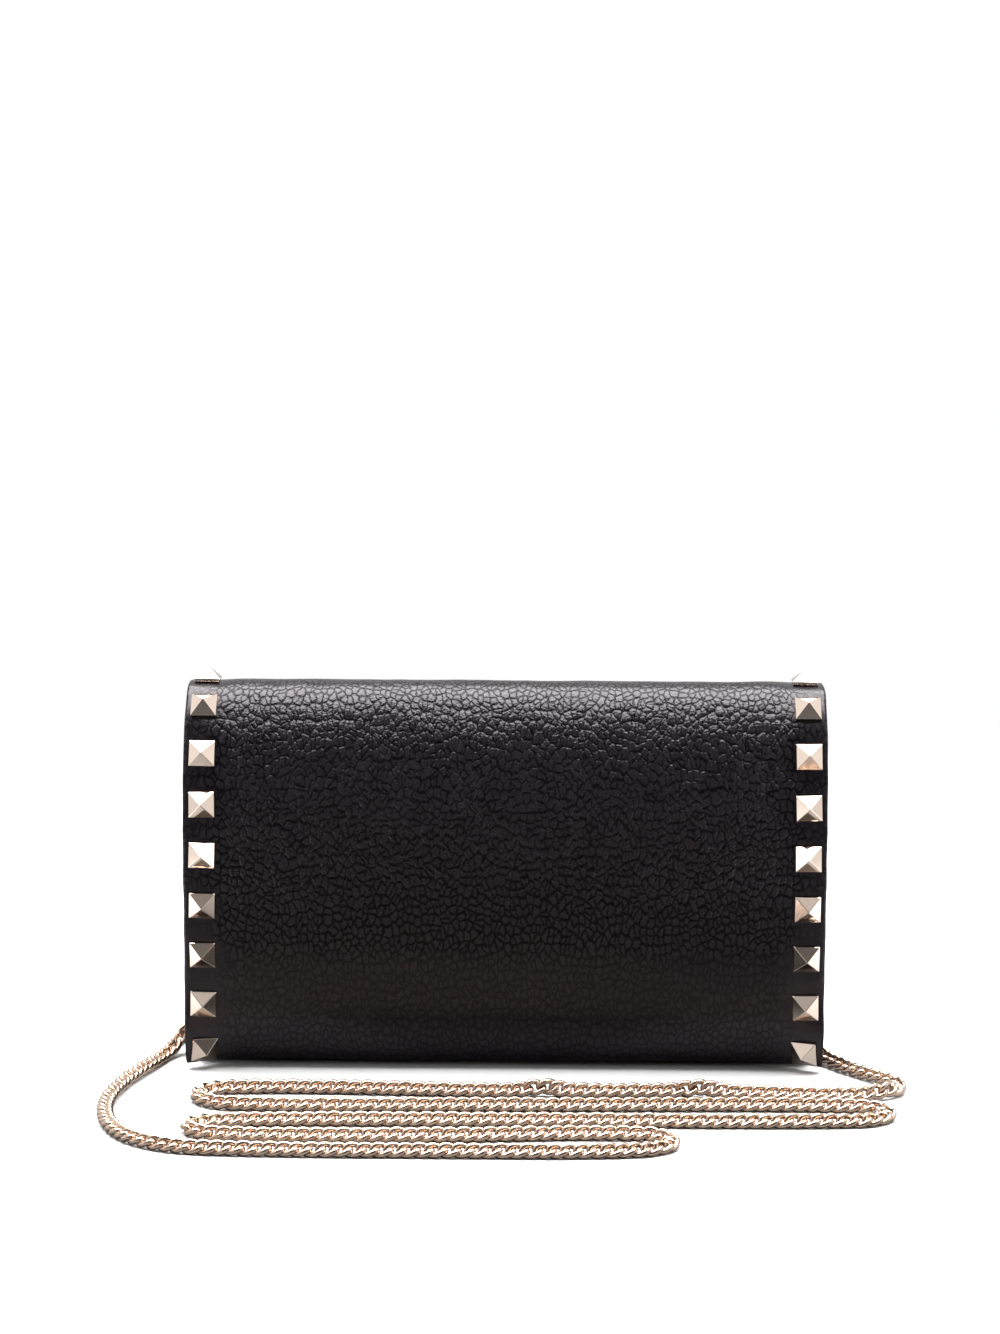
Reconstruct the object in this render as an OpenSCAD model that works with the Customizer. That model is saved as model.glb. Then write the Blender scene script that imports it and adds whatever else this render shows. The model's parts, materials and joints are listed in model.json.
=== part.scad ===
// Chain wallet: a leather wallet with a full-length flap, studded down both sides,
// and a long curb chain clipped to its sides and laid in rows on the table.

/* [Wallet] */
// Width of the flap and the back panel
wallet_w = 200; // [190:1:230]
// Radius of the fold that carries the flap over the top
fold_r = 20; // [18:0.5:24]
// Distance along the leather from one stud to the next
stud_pitch = 15.85; // [15:0.05:17]
// Height of the flap's lower edge above the table
lip_gap = 1.2; // [1:0.1:3]
// Leather left below the lowest stud
lip_len = 6.5; // [5:0.5:8]

/* [Leather] */
// Thickness of the outer leather
leather_t = 1.4; // [1.2:0.1:1.6]
// Thickness of the stiffening board between leather and lining
board_t = 0.6; // [0.5:0.1:0.8]
// Thickness of the lining
lining_t = 0.6; // [0.5:0.1:0.8]
// Space between the flap and the front panel that it covers
flap_gap = 1.6; // [1.4:0.1:2]

/* [Studs] */
// Side of a stud's square base
stud_w = 8; // [6:0.5:9]
// Height of a stud above the leather
stud_h = 4.2; // [3:0.1:5]
// Height of the straight rim under the pyramid
stud_rim = 0.5; // [0.3:0.1:0.8]
// Distance from the flap's side edge to the middle of the studs
stud_inset = 6; // [6:0.5:8]

/* [Chain] */
// Width of the curb chain
chain_d = 4; // [3:0.1:4.4]

/* [Inside] */
// Width of the body between the side seams
body_w = 194; // [184:1:194]
// Height of the pocket's zip above the table
zip_z = 80; // [74:1:82]
// Length of the zip
zip_len = 160; // [140:1:160]
// Height of the tallest card slot's edge above the table
slot_top = 82; // [76:1:84]
// Step from one card slot to the next
slot_step = 9; // [8:1:11]

/* [Hidden] */
$fn = 48;

// Outward tilt of the flap's surface above the horizontal: at the hinge, at the nine
// rows of studs and at the lower edge. Between two of them the leather bends evenly.
tilt = [180, 90, 40, 14, 4, 1.5, -2.5, -4, -5, -30, -42];
rows = 9;
lip = rows + 1;
steps = 8;

flap_t = leather_t + board_t + lining_t;
front_off = flap_t + flap_gap;
inner_off = front_off + flap_t;
edge_fold = 11;
stud_x = wallet_w / 2 - stud_inset;
shank_r = 1.2;
hole_play = 0.05;
washer_r = 3;
washer_t = 0.5;

function dir(a) = [cos(a), sin(a)];
function arc_len(i) = i == 0 ? fold_r * PI / 2 : i < rows ? stud_pitch : lip_len;
function arc_r(i) = arc_len(i) * 180 / PI / (tilt[i] - tilt[i + 1]);
function knot(i) = i == 0 ? [0, 0] : knot(i - 1) + arc_r(i - 1) * (dir(tilt[i]) - dir(tilt[i - 1]));
function tilt_at(k) = let (i = min(floor(k), rows)) tilt[i] + (k - i) * (tilt[i + 1] - tilt[i]);
function from_hinge(k) = let (i = min(floor(k), rows)) knot(i) + arc_r(i) * (dir(tilt_at(k)) - dir(tilt[i]));

// The hinge line is the top edge of the back panel's outer face.
hinge_z = lip_gap - knot(lip)[1];
top_z = hinge_z + knot(1)[1];
depth = max([for (k = [1:rows]) knot(k)[0] + stud_h * cos(tilt[k])]);
mid = depth / 2;

// A point of the flap's section: depth in front of the back panel, and height.
// k counts along the leather, so that k = 1 is the crest and k = 9 the lowest stud.
function skin(k, off) = from_hinge(k) + [0, hinge_z] - off * dir(tilt_at(k));
// Every layer is bent at the same places, so that the layers lie on each other.
function stops(k0, k1) = concat([k0], [for (j = [floor(k0 * steps + 1.01):ceil(k1 * steps - 1.01)]) j / steps], [k1]);
function band(k0, k1, off) = [for (k = stops(k0, k1)) skin(k, off)];
function reversed(v) = [for (i = [len(v) - 1:-1:0]) v[i]];
function placed(v) = [for (p = v) [mid - p[0], p[1]]];

module section(w, pts) {
    rotate([90, 0, 90]) linear_extrude(w, center = true) polygon(placed(pts));
}
module sheet(w, k0, k1, off, t) {
    section(w, concat(band(k0, k1, off), reversed(band(k0, k1, off + t))));
}
module on_skin(k, x, off = 0) {
    p = skin(k, off);
    translate([x, mid - p[0], p[1]]) rotate([90 - tilt_at(k), 0, 0]) children();
}
module both_columns() {
    for (side = [-1, 1], k = [1:rows]) on_skin(k, side * stud_x) children();
}
// A round hole's tool, turned so that its seam stays off the bends of the leather.
module bore(r, z, h) {
    rotate(40) translate([0, 0, z]) cylinder(r = r, h = h);
}
module plate(x0, x1, u0, u1, z0, z1) {
    translate([x0, mid - u1, z0]) cube([x1 - x0, u1 - u0, z1 - z0]);
}
module along_x(r, len) {
    rotate([0, 90, 0]) cylinder(r = r, h = len, center = true);
}
module along_y(r, len) {
    rotate([90, 0, 0]) cylinder(r = r, h = len, center = true);
}

// ---- flap ----
flap_k0 = 0.035;
module turned_edge(side) {
    w = edge_fold - 1;
    translate([side * (wallet_w / 2 - 0.6 - w / 2), 0, 0]) sheet(w, flap_k0, lip - 0.125, leather_t, board_t);
}
module flap_leather() color("#1c1a1b") difference() {
    union() {
        sheet(wallet_w, flap_k0, lip, 0, leather_t);
        turned_edge(-1);
        turned_edge(1);
    }
    both_columns() bore(shank_r + hole_play, -3, 6);
    both_columns() bore(washer_r + 0.2, -leather_t - 2, 2);
}
module flap_board() color("#6b6256") difference() {
    sheet(wallet_w - 2 * edge_fold - 1, 0.25, lip - 0.25, leather_t, board_t);
    on_skin(snap_k, 0) bore(snap_washer_r + 0.3, -4, 4);
}
module flap_lining() color("#2a2627") difference() {
    sheet(wallet_w - 3, 0.125, lip - 0.125, leather_t + board_t, lining_t);
    on_skin(snap_k, 0) bore(snap_r + 0.2, -5, 5);
}
module stud() {
    cylinder_r = stud_w / sqrt(2);
    translate([-stud_w / 2, -stud_w / 2, 0]) cube([stud_w, stud_w, stud_rim]);
    translate([0, 0, stud_rim]) rotate(45) cylinder(r1 = cylinder_r, r2 = 0.1, h = stud_h - stud_rim, $fn = 4);
    translate([0, 0, -leather_t - washer_t]) cylinder(r = shank_r, h = leather_t + washer_t + stud_rim / 2);
}
module stud_column(side) color("#d9c3a0") {
    for (k = [1:rows]) on_skin(k, side * stud_x) stud();
}
module washer_column(side) color("#b79f7c") {
    for (k = [1:rows]) on_skin(k, side * stud_x) translate([0, 0, -leather_t - washer_t - 0.05]) difference() {
        cylinder(r = washer_r, h = washer_t);
        translate([0, 0, -1]) cylinder(r = shank_r + hole_play, h = washer_t + 2);
    }
}

// ---- magnetic snap ----
snap_k = 7;
snap_r = 7;
snap_washer_r = 5;
post_r = 2.5;
socket_off = front_off - 0.9;
module snap_post() color("#c9b48f") on_skin(snap_k, 0) {
    translate([0, 0, -flap_t - 0.3]) cylinder(r = snap_r, h = 0.82);
    translate([0, 0, -front_off - 0.4]) cylinder(r = post_r, h = 2);
}
module snap_post_washer() color("#8d8d8d") on_skin(snap_k, 0) {
    translate([0, 0, -leather_t - 0.5]) cylinder(r = snap_washer_r, h = 0.4);
}
module snap_socket() color("#c9b48f") on_skin(snap_k, 0) difference() {
    translate([0, 0, -socket_off - 2.2]) cylinder(r = snap_r, h = 2.2);
    translate([0, 0, -socket_off - 3]) cylinder(r = post_r + 0.6, h = 4);
    translate([0, 0, -socket_off - 2.3]) difference() {
        cylinder(r = snap_r - 0.5, h = 1.9);
        translate([0, 0, -1]) cylinder(r = post_r + 1.1, h = 4);
    }
}
module snap_magnet() color("#5c5c60") on_skin(snap_k, 0) difference() {
    translate([0, 0, -socket_off - 2]) cylinder(r = snap_r - 0.55, h = 1.55);
    translate([0, 0, -socket_off - 3]) cylinder(r = post_r + 1.15, h = 4);
}
module snap_socket_washer() color("#8d8d8d") on_skin(snap_k, 0) {
    translate([0, 0, -front_off - leather_t - 0.5]) cylinder(r = snap_washer_r, h = 0.4);
}

// ---- body shell ----
front_k0 = 3.875;
back_top = hinge_z - 1.8;
corner_r = 5;
toe_r = 3;
toe_u = 27.5;
function heel(t) = [for (a = [180:15:270]) [corner_r, corner_r] + (corner_r - t) * dir(a)];
function toe(t) = [for (a = [-90:15:-45]) [toe_u, toe_r] + (toe_r - t) * dir(a)];
function base_line(t) = concat([[t, 9]], heel(t), toe(t), [skin(rows, front_off + t)]);
interior = concat([[flap_t, 120], [flap_t, 6]], [[6, 2.4]], [[toe_u, 2.4]], [skin(rows, inner_off)],
    reversed(band(front_k0, rows, inner_off)), [[skin(front_k0, inner_off)[0], 120]]);

module back_panel() color("#1c1a1b") {
    plate(-wallet_w / 2, wallet_w / 2, 0, leather_t, 9, back_top);
}
module back_board() color("#6b6256") {
    plate(-body_w / 2 + 4, body_w / 2 - 4, leather_t, leather_t + board_t, 10, back_top - 3);
}
module back_lining() color("#2a2627") {
    plate(-body_w / 2, body_w / 2, leather_t + board_t, flap_t, 7, back_top - 1);
}
module base_panel() color("#1c1a1b") {
    section(body_w, concat(base_line(0), reversed(base_line(leather_t))));
}
module base_board() color("#6b6256") {
    plate(-body_w / 2 + 14, body_w / 2 - 14, 7, toe_u, leather_t, leather_t + board_t);
}
module front_panel() color("#1c1a1b") difference() {
    sheet(body_w, front_k0, rows, front_off, leather_t);
    on_skin(snap_k, 0) bore(snap_r + 0.2, -front_off - 2, 4);
}
module front_board() color("#6b6256") difference() {
    sheet(body_w - 8, front_k0 + 0.125, rows - 0.375, front_off + leather_t, board_t);
    on_skin(snap_k, 0) bore(snap_washer_r + 0.3, -front_off - 4, 6);
}
module front_lining() color("#2a2627") {
    sheet(body_w, front_k0, rows - 0.125, front_off + leather_t + board_t, lining_t);
}

// ---- gussets: folded inwards, so that each side has a recess for the chain ----
valley_x = 84;
valley_u0 = 12;
valley_u1 = 28;
gusset_t = 1.2;
gusset_top = 86;
function gusset_line(t) = [
    [body_w / 2 - t, 0], [body_w / 2 - 2 - t, 6], [valley_x - t, valley_u0], [valley_x - t, valley_u1],
    [body_w / 2 - 2 - t, 35], [body_w / 2 - t, 45]
];
module gusset(side) color("#201d1e") difference() {
    intersection() {
        translate([0, mid, 2.4]) linear_extrude(gusset_top - 2.4)
            polygon([for (p = concat(gusset_line(0), reversed(gusset_line(gusset_t)))) [side * p[0], -p[1]]]);
        section(wallet_w, interior);
    }
    at_side(side, valley_x, tab_top - 4) along_x(rivet_r + hole_play, 6);
}

// ---- card slots and slip pocket on the back lining ----
slot_t = 0.6;
slot_gap = 0.25;
module slip_pocket() color("#231f20") {
    plate(-80, 80, flap_t + 0.2, flap_t + 0.2 + slot_t, 7, slot_top + 6);
}
module card_slot(side, i) color("#1f1c1d") {
    u0 = flap_t + 0.2 + i * (slot_t + slot_gap);
    x0 = side < 0 ? -80 : 2;
    plate(x0, x0 + 78, u0, u0 + slot_t, 7, slot_top - slot_step * (i - 1));
}

// ---- zipped pocket in the middle ----
zip_u = 20;
pocket_hw = 82.8;
pocket_d = 5;
wall_t = 0.8;
tape_t = 0.5;
tape_in = 1.9;
tooth_w = 1.2;
tooth_pitch = 3;
teeth = floor(zip_len / tooth_pitch) - 1;
module zip_pocket_wall(side) color("#262223") {
    u = zip_u + side * pocket_d;
    plate(-pocket_hw, pocket_hw, u - wall_t / 2, u + wall_t / 2, 4, zip_z - tape_t / 2);
    if (side > 0) plate(-pocket_hw, pocket_hw, zip_u - pocket_d + wall_t / 2, u, 4, 4 + wall_t);
}
module zip_tape(side) color("#191718") {
    u0 = side > 0 ? zip_u + tape_in : zip_u - pocket_d - wall_t / 2;
    plate(-zip_len / 2 - 2, zip_len / 2 + 2, u0, u0 + pocket_d + wall_t / 2 - tape_in, zip_z - tape_t / 2, zip_z + tape_t / 2);
}
module zip_teeth(side) color("#d9c3a0") {
    for (i = [0:teeth - 1]) {
        x = -zip_len / 2 + 1 + i * tooth_pitch + (side > 0 ? 0 : tooth_pitch / 2);
        u0 = side > 0 ? zip_u + 0.45 : zip_u - tape_in;
        plate(x, x + tooth_w, u0, u0 + tape_in - 0.45, zip_z - 0.9, zip_z + 0.9);
    }
}
slider_x = zip_len / 2 - 14;
slider_l = 9;
slider_travel = 2 * slider_x - 4;
module zip_stops() color("#d9c3a0") {
    for (x = [-zip_len / 2 - 1.5, zip_len / 2 - 1]) {
        plate(x, x + 1.5, zip_u - 3, zip_u + 3, zip_z + tape_t / 2, zip_z + 1.1);
    }
}
pin_r = 0.6;
pin_z = zip_z + 3.6;
module zip_slider() color("#d9c3a0") {
    for (up = [-1, 1]) {
        za = up > 0 ? zip_z + 1.1 : zip_z - 1.9;
        plate(slider_x, slider_x + slider_l, zip_u - 4, zip_u + 4, za, za + 0.8);
        for (s = [-1, 1]) {
            ua = s > 0 ? zip_u + 3 : zip_u - 4;
            zb = up > 0 ? zip_z + 0.5 : zip_z - 1.1;
            plate(slider_x, slider_x + slider_l, ua, ua + 1, zb, zb + 0.6);
        }
    }
    plate(slider_x + slider_l - 2, slider_x + slider_l, zip_u - 0.25, zip_u + 0.25, zip_z - 1.1, zip_z + 1.1);
    for (s = [-1, 1]) {
        ua = s > 0 ? zip_u + 1.5 : zip_u - 2.5;
        plate(slider_x + 3, slider_x + 6, ua, ua + 1, zip_z + 1.9, pin_z + 1);
    }
    translate([slider_x + 4.5, mid - zip_u, pin_z]) along_y(pin_r, 4);
}
pull_l = 20;
module zip_pull() color("#d9c3a0") translate([slider_x + 4.5, mid - zip_u, pin_z]) {
    difference() {
        union() {
            along_y(1.4, 2.4);
            translate([-6, -1.2, -0.5]) cube([6, 2.4, 1]);
            translate([-pull_l, -2.5, -0.5]) cube([pull_l - 5, 5, 1]);
            translate([-pull_l, 0, -0.5]) cylinder(r = 2.5, h = 1);
        }
        along_y(pin_r + 0.06, 6);
        translate([-pull_l, 0, -1]) cylinder(r = 1.2, h = 2);
    }
}

// ---- side tabs, rings and clasps ----
tab_u = 20;
tab_w = 8;
tab_t = 2.4;
tab_top = 84;
ring_z = 73;
ring_r = 6;
ring_wire = 1;
bar_x = valley_x + 2.6;
hook_x = valley_x + 5.6;
ring_lean = asin((hook_x - bar_x) / ring_r);
hook_r = 4.2;
hook_wire = 0.9;
hook_z = ring_z - ring_r * cos(ring_lean) - (hook_r - hook_wire - ring_wire - 0.1);
module at_side(side, x, z) {
    translate([side * x, mid - tab_u, z]) mirror([side < 0 ? 1 : 0, 0, 0]) children();
}
module tab(side) color("#1c1a1b") at_side(side, 0, 0) difference() {
    union() {
        translate([valley_x, -tab_w / 2, ring_z + 1]) cube([tab_t, tab_w, tab_top - ring_z - 1]);
        translate([bar_x, 0, ring_z]) along_y(2.4, tab_w);
    }
    translate([bar_x, 0, ring_z]) along_y(ring_wire + 0.05, tab_w + 2);
    translate([valley_x + 1, 0, tab_top - 4]) along_x(rivet_r + hole_play, 8);
    translate([valley_x - 4, -tab_w, ring_z - 8]) cube([4, 2 * tab_w, 30]);
}
rivet_r = 1.2;
rivet_l = tab_t + gusset_t + 0.4;
module tab_rivet(side) color("#d9c3a0") at_side(side, valley_x + tab_t, tab_top - 4) {
    rotate([0, 90, 0]) cylinder(r1 = 2.1, r2 = 1.3, h = 1.2);
    translate([-rivet_l / 2 + 0.1, 0, 0]) along_x(rivet_r, rivet_l);
}
module ring(side) color("#d9c3a0") at_side(side, bar_x, ring_z) {
    along_y(ring_wire, 2 * ring_r);
    rotate([0, -ring_lean, 0]) rotate([0, 90, 0]) rotate(-90) rotate_extrude(angle = 180)
        translate([ring_r, 0]) circle(ring_wire);
    for (s = [-1, 1]) translate([0, s * ring_r, 0]) sphere(ring_wire);
}
gate_x = 1.2;
gate_z = -4.3;
post_z = -8.6;
module hook_sector(a0, a1, r) {
    polygon(concat([[0, 0]], [for (i = [0:8]) r * dir(a0 + (a1 - a0) * i / 8)]));
}
module clasp(side) color("#d9c3a0") at_side(side, hook_x, hook_z) difference() {
    union() {
        rotate([90, 0, 0]) linear_extrude(2 * hook_wire, center = true) difference() {
            intersection() {
                circle(hook_r + hook_wire);
                hook_sector(34, 250, 3 * hook_r);
            }
            circle(hook_r - hook_wire);
        }
        translate([-2.8, -hook_wire, post_z]) cube([2.2, 2 * hook_wire, 5.2]);
        for (s = [-1, 1]) translate([-2.8, s > 0 ? hook_wire : -hook_wire - 0.7, post_z]) {
            cube([2.2 + gate_x + 1.8, 0.7, 5.2]);
        }
        translate([-2.8, -hook_wire - 0.7, post_z]) cube([2.2 + gate_x + 1.8, 2 * hook_wire + 1.4, 2.6]);
        translate([0, 0, post_z - 2]) cylinder(r = 0.7, h = 2.5);
        translate([0, 0, post_z - 2.6]) cylinder(r = 1.2, h = 0.7);
    }
    translate([gate_x, 0, gate_z]) along_y(0.4, 10);
}
module gate(side) color("#d9c3a0") at_side(side, hook_x, hook_z) difference() {
    union() {
        rotate([90, 0, 0]) rotate(-74) rotate_extrude(angle = 90) translate([hook_r, 0]) circle(0.7);
        translate([gate_x, 0, gate_z]) along_y(0.95, 1.4);
    }
    translate([gate_x, 0, gate_z]) along_y(0.45, 4);
}
module gate_pin(side) color("#b79f7c") at_side(side, hook_x, hook_z) {
    translate([gate_x, 0, gate_z]) along_y(0.4, 2 * hook_wire + 1.4);
}
boss_z = post_z - 0.2;
loop_r = 2.4;
loop_z = boss_z - 1.6 - loop_r;
module swivel(side) color("#d9c3a0") at_side(side, hook_x, hook_z) difference() {
    union() {
        translate([0, 0, boss_z - 1.4]) cylinder(r = 1.9, h = 1.4);
        translate([0, 0, loop_z]) rotate([90, 0, 0]) rotate_extrude() translate([loop_r, 0]) circle(0.7);
    }
    translate([0, 0, boss_z - 3]) cylinder(r = 0.76, h = 4);
    translate([0, 0, boss_z - 3.1]) cylinder(r = 1.35, h = 2.1);
}

// ---- chain: leaves the left clasp, lies in five rows and goes back to the right clasp ----
chain_r = chain_d / 2;
end_z = hook_z + loop_z - loop_r - 0.8;
// Route: sideways, in front of the back panel, and height above the table
route = [
    [-hook_x, tab_u, end_z], [-hook_x, tab_u, 34], [-92, 20, 22], [-97, 19.5, 13.5], [-102.5, 19, 7.5],
    [-107.5, 23, chain_r], [-112, 40, chain_r], [-117.5, 64, chain_r], [-119, 87, chain_r],
    [-116.5, 109, chain_r], [-110, 126, chain_r], [-98, 137, chain_r], [-80, 140, chain_r],
    [-20, 140.5, chain_r], [40, 138, chain_r], [49, 129, chain_r], [40, 119, chain_r],
    [-20, 120.5, chain_r], [-82, 121.5, chain_r], [-91, 113, chain_r], [-82, 104, chain_r],
    [0, 102.5, chain_r], [104, 101, chain_r], [114.5, 91.5, chain_r], [105, 82.5, chain_r],
    [0, 85, chain_r], [-82, 86.5, chain_r], [-92, 77, chain_r], [-82, 67.5, chain_r],
    [0, 67, chain_r], [104, 68.5, chain_r], [119, 59, chain_r], [123.5, 44, chain_r],
    [120.5, 30, chain_r], [112, 20, chain_r], [103, 17.5, 3.5], [97, 18, 10], [92.5, 19.5, 20],
    [hook_x, tab_u, 34], [hook_x, tab_u, end_z]
];
// The route is followed by a cubic curve that passes each point in the direction
// from the point before it to the point after it.
function unit(v) = v / norm(v);
function seg(i) = norm(route[i + 1] - route[i]);
function slope(i) = unit(route[min(i + 1, len(route) - 1)] - route[max(i - 1, 0)]);
function blend(i, t) = (2 * t ^ 3 - 3 * t ^ 2 + 1) * route[i] + (t ^ 3 - 2 * t ^ 2 + t) * seg(i) * slope(i)
    + (3 * t ^ 2 - 2 * t ^ 3) * route[i + 1] + (t ^ 3 - t ^ 2) * seg(i) * slope(i + 1);
line = concat([for (i = [0:len(route) - 2], j = [0:1]) blend(i, j / 2)], [route[len(route) - 1]]);
// Directions along the line, and a sideways direction that never lies along it
function heading(i) = unit(line[min(i + 1, len(line) - 1)] - line[max(i - 1, 0)]);
function across(i) = let (h = heading(i)) unit(cross(abs(h[2]) > 0.7 ? [0, 1, 0] : [0, 0, 1], h));
sides = 8;
module chain() color("#d9c3a0") {
    n = len(line);
    flat_side = 180 / sides;
    reach = chain_r / cos(flat_side);
    ring_pts = [for (i = [0:n - 1], j = [0:sides - 1])
        let (h = heading(i), a = across(i), b = cross(h, a), q = 360 * j / sides + flat_side)
        line[i] + reach * (cos(q) * a + sin(q) * b)];
    walls = [for (i = [0:n - 2], j = [0:sides - 1]) let (k = (j + 1) % sides)
        [i * sides + j, i * sides + k, (i + 1) * sides + k, (i + 1) * sides + j]];
    ends = [[for (j = [sides - 1:-1:0]) j], [for (j = [0:sides - 1]) (n - 1) * sides + j]];
    translate([0, mid, 0]) mirror([0, 1, 0]) polyhedron(ring_pts, concat(walls, ends), convexity = 8);
}

back_panel();
back_board();
back_lining();
base_panel();
base_board();
front_panel();
front_board();
front_lining();
gusset(-1);  // gusset_left
gusset(1);  // gusset_right
slip_pocket();
card_slot(-1, 1);  // card_slot_left_1
card_slot(-1, 2);  // card_slot_left_2
card_slot(-1, 3);  // card_slot_left_3
card_slot(1, 1);  // card_slot_right_1
card_slot(1, 2);  // card_slot_right_2
card_slot(1, 3);  // card_slot_right_3
zip_pocket_wall(1);  // zip_pocket_front
zip_pocket_wall(-1);  // zip_pocket_back
zip_tape(1);  // zip_tape_front
zip_tape(-1);  // zip_tape_back
zip_teeth(1);  // zip_teeth_front
zip_teeth(-1);  // zip_teeth_back
zip_stops();
zip_slider();
zip_pull();
snap_socket();
snap_magnet();
snap_socket_washer();
snap_post();
snap_post_washer();
flap_leather();
flap_board();
flap_lining();
stud_column(-1);  // studs_left
stud_column(1);  // studs_right
washer_column(-1);  // stud_washers_left
washer_column(1);  // stud_washers_right
tab(-1);  // tab_left
tab(1);  // tab_right
tab_rivet(-1);  // tab_rivet_left
tab_rivet(1);  // tab_rivet_right
ring(-1);  // ring_left
ring(1);  // ring_right
clasp(-1);  // clasp_left
clasp(1);  // clasp_right
gate(-1);  // gate_left
gate(1);  // gate_right
gate_pin(-1);  // gate_pin_left
gate_pin(1);  // gate_pin_right
swivel(-1);  // swivel_left
swivel(1);  // swivel_right
chain();
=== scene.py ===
"""Chain wallet: leather, linings, studs, curb chain and inside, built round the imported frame."""

import json
import math
import random

import bmesh
import bpy
import numpy as np
from bpy.props import FloatProperty, FloatVectorProperty, IntProperty
from mathutils import Matrix, Vector, noise


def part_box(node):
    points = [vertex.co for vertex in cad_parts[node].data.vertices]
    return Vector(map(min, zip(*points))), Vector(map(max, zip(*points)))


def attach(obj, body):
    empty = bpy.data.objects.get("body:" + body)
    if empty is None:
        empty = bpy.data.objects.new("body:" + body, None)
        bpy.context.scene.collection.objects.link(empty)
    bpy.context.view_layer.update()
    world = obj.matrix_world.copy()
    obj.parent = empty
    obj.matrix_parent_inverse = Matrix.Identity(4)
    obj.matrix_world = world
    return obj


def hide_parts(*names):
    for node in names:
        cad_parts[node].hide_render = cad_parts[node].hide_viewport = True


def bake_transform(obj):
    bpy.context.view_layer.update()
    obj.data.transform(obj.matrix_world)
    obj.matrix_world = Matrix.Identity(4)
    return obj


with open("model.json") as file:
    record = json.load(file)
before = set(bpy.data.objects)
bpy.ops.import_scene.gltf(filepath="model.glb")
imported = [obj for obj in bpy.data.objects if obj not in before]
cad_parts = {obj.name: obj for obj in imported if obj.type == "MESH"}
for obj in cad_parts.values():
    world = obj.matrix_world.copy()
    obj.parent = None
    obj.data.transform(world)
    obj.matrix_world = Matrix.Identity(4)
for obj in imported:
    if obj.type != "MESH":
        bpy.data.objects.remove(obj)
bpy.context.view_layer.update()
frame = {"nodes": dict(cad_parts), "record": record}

bl_info = {
    "name": "Chain Wallet",
    "version": (1, 0, 0),
    "blender": (4, 5, 0),
    "location": "View3D > Sidebar > Wallet",
    "description": "Builds a studded leather wallet with a long curb chain, piece by piece",
    "category": "Object",
}

MM = 0.001
# The back panel's outer face, from which depths are counted forwards, and the hinge line
BACK_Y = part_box("back_panel")[1].y / MM
HINGE_Z = next(j for j in frame["record"]["behaviour"]["joints"] if j["name"] == "flap_open")["pos_m"][2] / MM

# ---- section of the flap, in millimetres, as the CAD has it ----
TILT = [180, 90, 40, 14, 4, 1.5, -2.5, -4, -5, -30, -42]
PITCH = 15.85
FOLD_R = 20
LIP_LEN = 6.5
ROWS = 9
LIP = ROWS + 1
HALF_W = 100
BODY_HALF_W = 97
LEATHER_T = 1.4
LINING_OFF = 2.0
CLOTH_T = 0.6
FLAP_T = 2.6
FRONT_OFF = 4.2
FRONT_K0 = 3.875
STUD_X = 94
TOE_U = 27.5  # depth of the flat base
HINGE_K = 0.6  # where the flap's leather meets the body leather's strip over the hinge
BEND_START, BEND_END = ((0, BACK_Y * MM, (HINGE_Z + z) * MM) for z in (-3, 3))


def unit_at(angle):
    return np.array([math.cos(math.radians(angle)), math.sin(math.radians(angle))])


def arc_len(i):
    return FOLD_R * math.pi / 2 if i == 0 else PITCH if i < ROWS else LIP_LEN


def arc_radius(i):
    return arc_len(i) * 180 / math.pi / (TILT[i] - TILT[i + 1])


KNOTS = [np.zeros(2)]
for _i in range(LIP):
    KNOTS.append(KNOTS[-1] + arc_radius(_i) * (unit_at(TILT[_i + 1]) - unit_at(TILT[_i])))
RUN = [sum(arc_len(j) for j in range(i)) for i in range(LIP + 1)]


def tilt_at(k):
    i = min(int(k), ROWS)
    return TILT[i] + (k - i) * (TILT[i + 1] - TILT[i])


def skin(k, off=0.0):
    """Depth and height of the flap's section: k = 1 is the crest, k = 9 the lowest stud."""
    i = min(int(k), ROWS)
    p = KNOTS[i] + arc_radius(i) * (unit_at(tilt_at(k)) - unit_at(TILT[i]))
    p = p + np.array([0.0, HINGE_Z]) - off * unit_at(tilt_at(k))
    return p


def run_at(k):
    i = min(int(k), ROWS)
    return RUN[i] + (k - i) * arc_len(i)


def k_at(runs):
    """Where along the section each distance from the hinge falls."""
    ks = np.linspace(0, LIP, 400)
    return np.interp(runs, [run_at(k) for k in ks], ks)


def smooth(a, b, x):
    t = min(max((x - a) / (b - a), 0.0), 1.0)
    return t * t * (3 - 2 * t)


def place(x, u, z):
    """A point in metres from millimetres sideways, in front of the back panel, and up."""
    return Vector((x * MM, (BACK_Y - u) * MM, z * MM))


def wave(x, y, z=0.0):
    return noise.noise(Vector((x, y, z)))


def linear(hexa):
    """sRGB hex to linear colour."""
    parts = [int(hexa[i:i + 2], 16) / 255 for i in (1, 3, 5)]
    return [c / 12.92 if c <= 0.04045 else ((c + 0.055) / 1.055) ** 2.4 for c in parts] + [1.0]


# ---- materials ----
DARK_FRONT = 0.1  # light from the unlit studio in front of the set, and the painted shade of the floor's front in reflections


def add(tree, kind, settings=None, inputs=None):
    """Adds a node with its settings and its values or links."""
    node = tree.nodes.new(kind)
    for key, value in (settings or {}).items():
        setattr(node, key, value)
    for key, value in (inputs or {}).items():
        if isinstance(value, bpy.types.NodeSocket):
            tree.links.new(value, node.inputs[key])
        else:
            node.inputs[key].default_value = value
    return node


def new_material(name):
    mat = bpy.data.materials.new(name)
    mat.use_nodes = True
    tree = mat.node_tree
    tree.nodes.clear()
    shader = add(tree, "ShaderNodeBsdfPrincipled")
    add(tree, "ShaderNodeOutputMaterial", inputs={"Surface": shader.outputs[0]})
    return mat, tree, shader


# The calf's grain: sizes in millimetres
DRIFT_SIZE = 11
DRIFT = 4  # how far the pattern as a whole wanders
PATCH_SIZE = 14  # spread of the places where small cells stand out
PORE_SIZE = 0.3
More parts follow.
